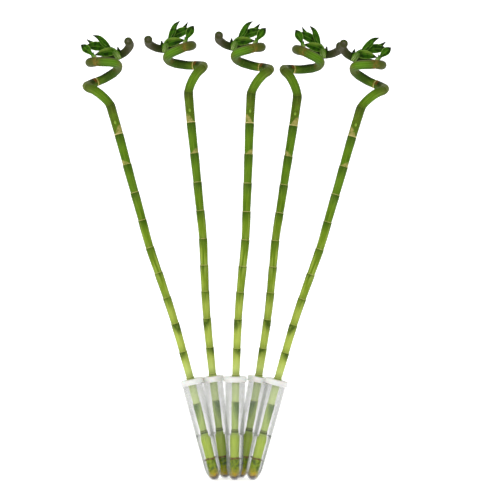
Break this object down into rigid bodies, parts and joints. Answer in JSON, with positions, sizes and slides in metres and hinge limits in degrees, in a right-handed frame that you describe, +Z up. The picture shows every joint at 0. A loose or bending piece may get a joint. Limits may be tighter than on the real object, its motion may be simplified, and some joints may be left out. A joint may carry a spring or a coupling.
{
  "type": "lucky bamboo",
  "caption": "Clump of spiral lucky bamboo canes with coiled tops and small leafy shoots, each standing in a slim frosted water tube with a white cap.",
  "frame": {"origin": "middle of the flat foot of the middle tube, on the surface that the clump stands on", "axes": "+Z up, +X to the right of the clump seen from its front, -Y towards the front"},
  "size_m": [0.4038, 0.0822, 0.6027],
  "materials": {
    "tube": "clear polypropylene with a fine milky frost, moulded",
    "cap": "soft white polyethylene, moulded, satin",
    "water": "clear still water",
    "cane": "smooth waxy green cane skin, satin, with pale lines at the joints",
    "leaf": "smooth leaf, satin, with parallel veins"
  },
  "bodies": {
    "root": {"tube_1": "tube", "cap_1": "cap", "water_1": "water", "stalk_1": "cane", "upper_shoot_1": "leaf", "lower_shoot_1": "leaf", "tube_2": "tube", "cap_2": "cap", "water_2": "water", "stalk_2": "cane", "upper_shoot_2": "leaf", "lower_shoot_2": "leaf", "tube_3": "tube", "cap_3": "cap", "water_3": "water", "stalk_3": "cane", "upper_shoot_3": "leaf", "lower_shoot_3": "leaf", "tube_4": "tube", "cap_4": "cap", "water_4": "water", "stalk_4": "cane", "upper_shoot_4": "leaf", "lower_shoot_4": "leaf", "tube_5": "tube", "cap_5": "cap", "water_5": "water", "stalk_5": "cane", "upper_shoot_5": "leaf", "lower_shoot_5": "leaf"}
  },
  "joints": []
}
